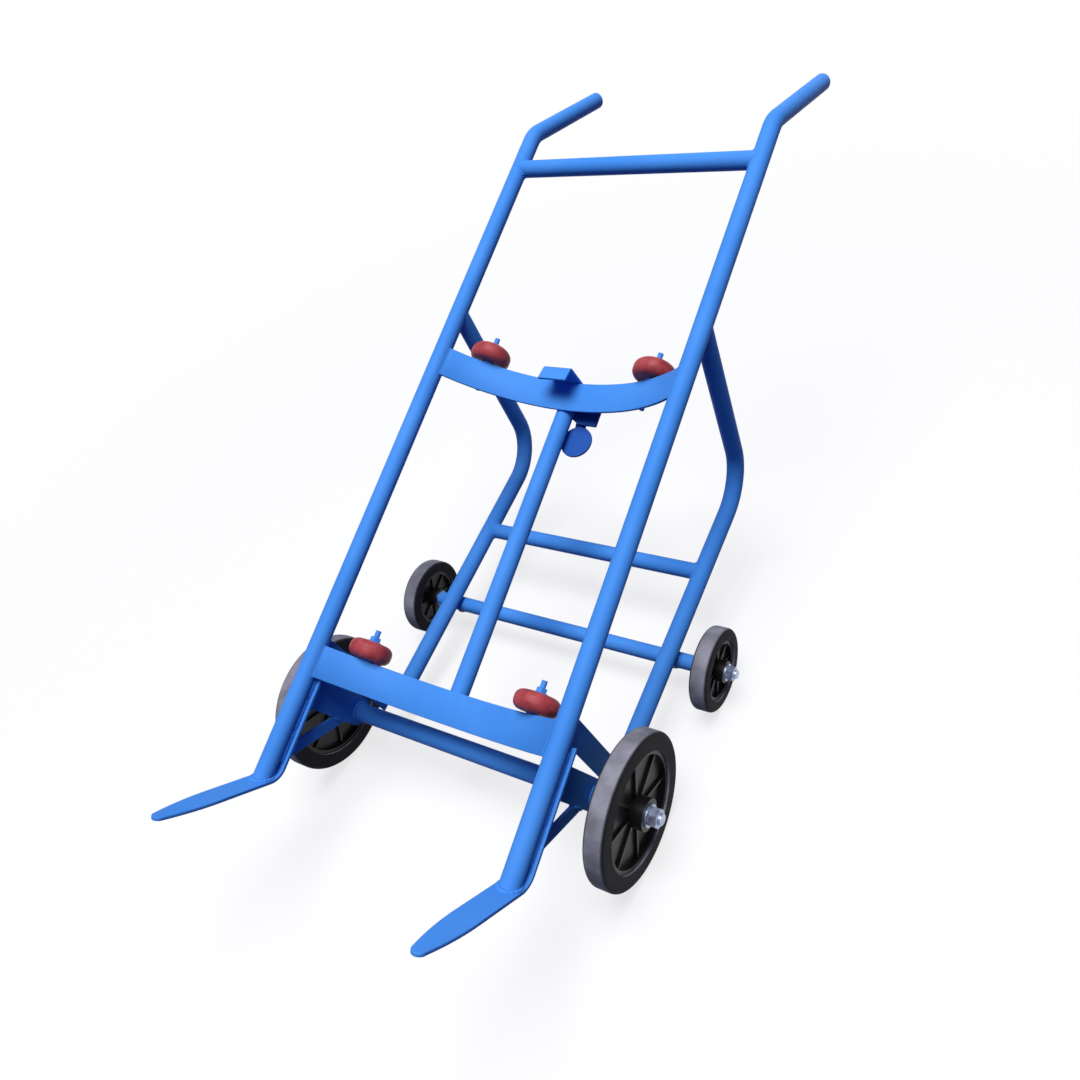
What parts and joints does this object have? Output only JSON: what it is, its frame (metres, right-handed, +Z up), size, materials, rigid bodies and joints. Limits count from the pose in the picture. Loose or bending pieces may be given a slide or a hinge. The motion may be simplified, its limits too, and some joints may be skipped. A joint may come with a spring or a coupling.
{
  "type": "drum handler",
  "caption": "Tubular drum truck on wheels, with bent handles, curved cradle plates with rollers, forked toes, bent rear legs and a sliding rim hook.",
  "frame": {"origin": "floor point under the middle of the whole object", "axes": "+Z up, +Y from the toes towards the handles, +X to the right seen from the toes"},
  "size_m": [0.7626, 1.7066, 0.7684],
  "materials": {
    "blue_enamel": "semi-gloss enamel",
    "roller_red": "satin",
    "tyre_rubber": "matt solid rubber",
    "wheel_black": "black paint",
    "bush_bronze": "plain bronze",
    "zinc_plate": "zinc plate"
  },
  "bodies": {
    "frame": {"left_side_rail": "blue_enamel", "right_side_rail": "blue_enamel", "left_handle_cap": "blue_enamel", "right_handle_cap": "blue_enamel", "left_rear_leg": "blue_enamel", "right_rear_leg": "blue_enamel", "left_toe_bar": "blue_enamel", "right_toe_bar": "blue_enamel", "left_foot_bar": "blue_enamel", "right_foot_bar": "blue_enamel", "left_axle_bracket": "blue_enamel", "right_axle_bracket": "blue_enamel", "left_axle_strut": "blue_enamel", "right_axle_strut": "blue_enamel", "top_crossbar": "blue_enamel", "upper_cradle_plate": "blue_enamel", "lower_cradle_plate": "blue_enamel", "centre_tube": "blue_enamel", "rear_brace_tube": "blue_enamel", "rear_axle_tube": "blue_enamel", "front_axle_tube": "blue_enamel", "roller_studs": "blue_enamel", "roller_washers": "blue_enamel", "roller_nuts": "blue_enamel", "lock_lug": "blue_enamel", "lock_spacer": "blue_enamel", "lock_bolt": "blue_enamel", "lock_nut": "blue_enamel", "front_axle_rod": "zinc_plate", "rear_axle_rod": "zinc_plate", "front_axle_washers": "zinc_plate", "rear_axle_washers": "zinc_plate", "front_axle_nuts": "zinc_plate", "rear_axle_nuts": "zinc_plate"},
    "hook": {"hook_stem": "blue_enamel", "hook_plate": "blue_enamel"},
    "lock_lever": {"lock_strap": "blue_enamel", "lock_disc": "blue_enamel"},
    "left_front_wheel": {"left_front_tyre": "tyre_rubber", "left_front_wheel_centre": "wheel_black", "left_front_bush": "bush_bronze"},
    "right_front_wheel": {"right_front_tyre": "tyre_rubber", "right_front_wheel_centre": "wheel_black", "right_front_bush": "bush_bronze"},
    "left_rear_wheel": {"left_rear_tyre": "tyre_rubber", "left_rear_wheel_centre": "wheel_black", "left_rear_bush": "bush_bronze"},
    "right_rear_wheel": {"right_rear_tyre": "tyre_rubber", "right_rear_wheel_centre": "wheel_black", "right_rear_bush": "bush_bronze"},
    "upper_left_roller": {"upper_left_roller": "roller_red"},
    "upper_right_roller": {"upper_right_roller": "roller_red"},
    "lower_left_roller": {"lower_left_roller": "roller_red"},
    "lower_right_roller": {"lower_right_roller": "roller_red"}
  },
  "joints": [
    {"name": "hook_slide", "type": "slide", "parent": "frame", "child": "hook", "axis": [0, 0.9242, 0.382], "range_m": [0, 0.08]},
    {"name": "lock_swing", "type": "hinge", "parent": "frame", "child": "lock_lever", "pos_m": [0.012, 0.10351, 0.41256], "axis": [0, -0.382, 0.9242], "range_deg": [0, 75]},
    {"name": "left_front_wheel_spin", "type": "hinge", "parent": "frame", "child": "left_front_wheel", "pos_m": [-0.327, -0.47329, 0.13], "axis": [1, 0, 0], "continuous": true},
    {"name": "right_front_wheel_spin", "type": "hinge", "parent": "frame", "child": "right_front_wheel", "pos_m": [0.327, -0.47329, 0.13], "axis": [1, 0, 0], "continuous": true},
    {"name": "left_rear_wheel_spin", "type": "hinge", "parent": "frame", "child": "left_rear_wheel", "pos_m": [-0.327, -0.14342, 0.078], "axis": [1, 0, 0], "continuous": true},
    {"name": "right_rear_wheel_spin", "type": "hinge", "parent": "frame", "child": "right_rear_wheel", "pos_m": [0.327, -0.14342, 0.078], "axis": [1, 0, 0], "continuous": true},
    {"name": "upper_left_roller_spin", "type": "hinge", "parent": "frame", "child": "upper_left_roller", "pos_m": [-0.182, 0.13708, 0.518], "axis": [0, 0.9242, 0.382], "continuous": true},
    {"name": "upper_right_roller_spin", "type": "hinge", "parent": "frame", "child": "upper_right_roller", "pos_m": [0.166, 0.14036, 0.51007], "axis": [0, 0.9242, 0.382], "continuous": true},
    {"name": "lower_left_roller_spin", "type": "hinge", "parent": "frame", "child": "lower_left_roller", "pos_m": [-0.182, -0.42759, 0.28461], "axis": [0, 0.9242, 0.382], "continuous": true},
    {"name": "lower_right_roller_spin", "type": "hinge", "parent": "frame", "child": "lower_right_roller", "pos_m": [0.166, -0.42431, 0.27668], "axis": [0, 0.9242, 0.382], "continuous": true}
  ]
}
